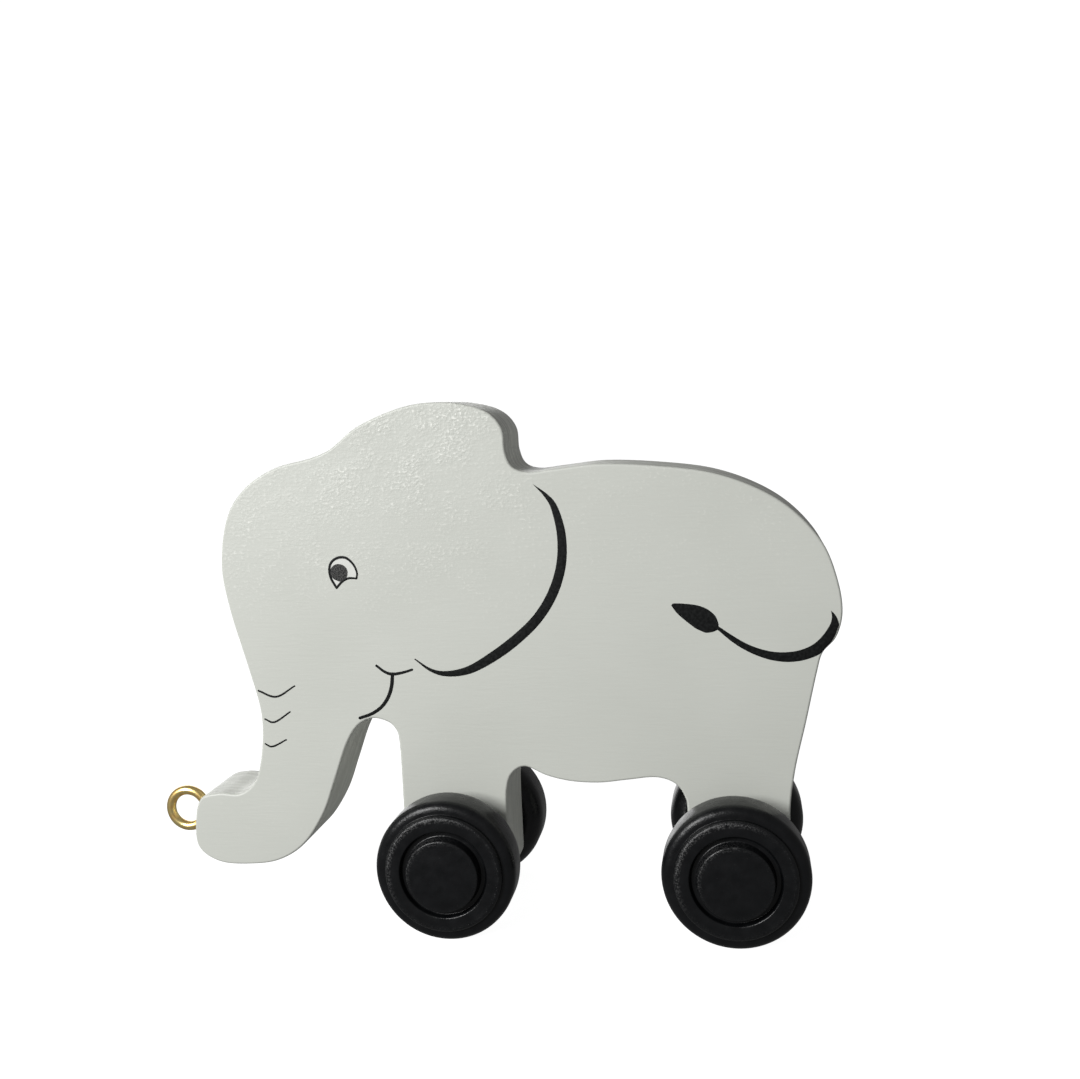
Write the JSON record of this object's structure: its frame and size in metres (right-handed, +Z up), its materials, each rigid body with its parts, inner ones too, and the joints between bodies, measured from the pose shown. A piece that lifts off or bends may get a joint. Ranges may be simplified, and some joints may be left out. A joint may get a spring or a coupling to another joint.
{
  "type": "pull along toy",
  "caption": "Flat wooden board elephant on two free-turning wheelsets, with a screw eye in the trunk tip for a pull cord.",
  "frame": {"origin": "middle of the toy's length and width, on the surface that the wheels stand on", "axes": "-X the way the elephant faces and is pulled, +Y its right side, +Z up"},
  "size_m": [0.1805, 0.0552, 0.1311],
  "materials": {
    "grey_paint": "pale grey satin paint brushed over sanded wood, thin black brush lines",
    "black_paint": "black satin paint over turned wood, rubbed along the turned edges",
    "beech": "plain sanded dowel",
    "brass": "bright, lightly drawn wire"
  },
  "bodies": {
    "body": {"elephant_body": "grey_paint", "screw_eye": "brass"},
    "front_wheelset": {"front_axle": "beech", "front_wheel_left": "black_paint", "front_wheel_right": "black_paint"},
    "rear_wheelset": {"rear_axle": "beech", "rear_wheel_left": "black_paint", "rear_wheel_right": "black_paint"}
  },
  "joints": [
    {"name": "front_axle_spin", "type": "hinge", "parent": "body", "child": "front_wheelset", "pos_m": [-0.00604, 0, 0.0175], "axis": [0, 1, 0], "continuous": true},
    {"name": "rear_axle_spin", "type": "hinge", "parent": "body", "child": "rear_wheelset", "pos_m": [0.06396, 0, 0.0175], "axis": [0, 1, 0], "continuous": true}
  ]
}
